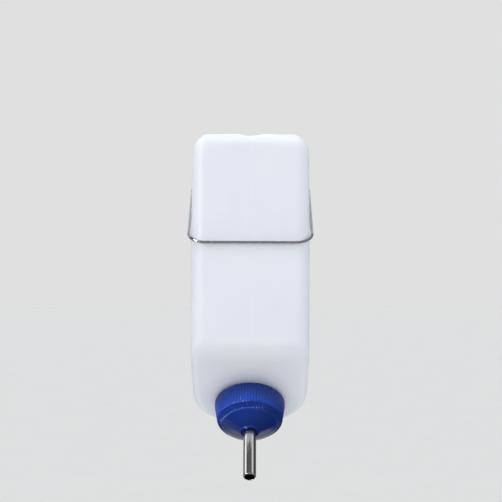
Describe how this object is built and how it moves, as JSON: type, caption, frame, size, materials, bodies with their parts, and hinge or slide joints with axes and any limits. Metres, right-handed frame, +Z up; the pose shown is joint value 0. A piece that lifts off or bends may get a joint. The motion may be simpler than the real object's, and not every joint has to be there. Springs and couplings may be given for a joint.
{
  "type": "small animal water bottle",
  "caption": "Flat rectangular bottle hung upside down by a bent wire, with a slanted neck, a ribbed screw cap and a steel drinking tube closed by loose balls.",
  "frame": {"origin": "in the plane of the cage wall, which is also the plane of the bottle's back, midway between the two hooks where they rest on a cage wire", "axes": "+X to the right seen from the front, -Y to the front, the side that the tube points to, +Y into the cage wall, +Z up"},
  "size_m": [0.094, 0.0783, 0.2563],
  "materials": {
    "bottle_plastic": "milky translucent polyethylene with a soft sheen",
    "cap_plastic": "glossy moulded royal blue",
    "gasket_rubber": "matte black rubber",
    "tube_steel": "polished stainless steel",
    "ball_steel": "polished bearing ball",
    "hanger_wire": "bright plated spring wire"
  },
  "bodies": {
    "hanger": {"wire_hanger": "hanger_wire"},
    "bottle": {"bottle": "bottle_plastic"},
    "seal": {"cap_gasket": "gasket_rubber"},
    "cap": {"screw_cap": "cap_plastic", "drinking_tube": "tube_steel"},
    "front_ball": {"front_ball": "ball_steel"},
    "rear_ball": {"rear_ball": "ball_steel"}
  },
  "joints": [
    {"name": "bottle_lift", "type": "slide", "parent": "hanger", "child": "bottle", "axis": [0, 0, 1], "range_m": [-0.04, 0.14]},
    {"name": "cap_travel", "type": "slide", "parent": "bottle", "child": "seal", "axis": [0, -0.7071, -0.7071], "range_m": [0, 0.01201]},
    {"name": "cap_turn", "type": "hinge", "parent": "seal", "child": "cap", "pos_m": [0, -0.01994, -0.16406], "axis": [0, -0.7071, -0.7071], "range_deg": [0, 1080]},
    {"name": "front_ball_slide", "type": "slide", "parent": "cap", "child": "front_ball", "axis": [0, -0.7071, -0.7071], "range_m": [0, 0.02966]},
    {"name": "rear_ball_slide", "type": "slide", "parent": "cap", "child": "rear_ball", "axis": [0, -0.7071, -0.7071], "range_m": [0, 0.02966]}
  ],
  "couplings": [
    {"joint": "cap_travel", "follows": "cap_turn", "m_per_rad": 0.00063662},
    {"joint": "rear_ball_slide", "follows": "front_ball_slide", "ratio": 1}
  ]
}
